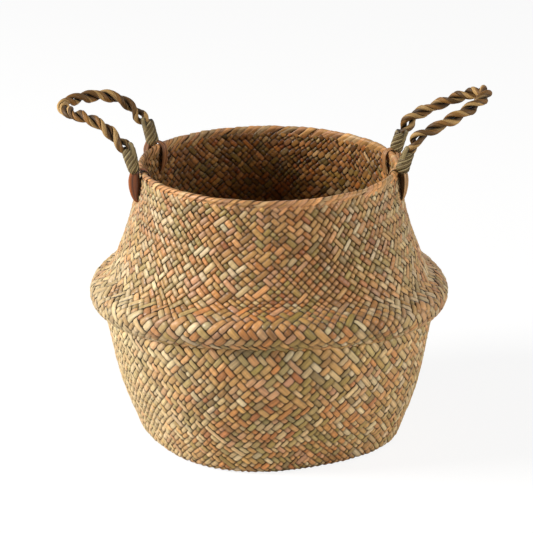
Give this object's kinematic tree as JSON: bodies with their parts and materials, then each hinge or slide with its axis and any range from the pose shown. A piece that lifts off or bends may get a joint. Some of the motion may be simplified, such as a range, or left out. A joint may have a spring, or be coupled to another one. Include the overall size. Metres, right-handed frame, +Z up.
{
  "type": "wicker storage basket",
  "caption": "Plaited round-bellied storage basket: flat base, bowl with a folded lip, collar that pushes down or pulls up, and rope handles that swing on strap anchors.",
  "frame": {"origin": "middle of the flat underside of the base", "axes": "+Z up, the front of the basket towards -Y, the two handles towards -X and +X"},
  "size_m": [0.3547, 0.3, 0.2942],
  "materials": {
    "plait": "dry plaited seagrass strips, straw to tan with olive, peach and brown ones",
    "strap": "flattened reddish-brown leaf",
    "rope": "twisted seagrass leaves with a dry satin face",
    "binding": "grey-green leaf wound tight"
  },
  "bodies": {
    "bowl": {"base_panel": "plait", "bowl_wall": "plait", "belly_fold": "plait", "shoulder": "plait"},
    "collar": {"collar_wall": "plait", "rim_border": "plait", "anchor_strap_left_front": "strap", "anchor_strap_left_back": "strap", "anchor_strap_right_front": "strap", "anchor_strap_right_back": "strap"},
    "handle_left": {"handle_rope_left": "rope", "binding_left_front": "binding", "binding_left_back": "binding"},
    "handle_right": {"handle_rope_right": "rope", "binding_right_front": "binding", "binding_right_back": "binding"}
  },
  "joints": [
    {"name": "collar_push", "type": "slide", "parent": "bowl", "child": "collar", "axis": [0, 0, 1], "range_m": [-0.05, 0.01], "deforming": ["shoulder"]},
    {"name": "handle_left_swing", "type": "hinge", "parent": "collar", "child": "handle_left", "pos_m": [-0.10412, 0.01463, 0.2346], "axis": [-0.1392, -0.9903, 0], "range_deg": [-75, 60]},
    {"name": "handle_right_swing", "type": "hinge", "parent": "collar", "child": "handle_right", "pos_m": [0.10939, 0.00573, 0.2346], "axis": [-0.0523, 0.9986, 0], "range_deg": [-75, 60]}
  ]
}
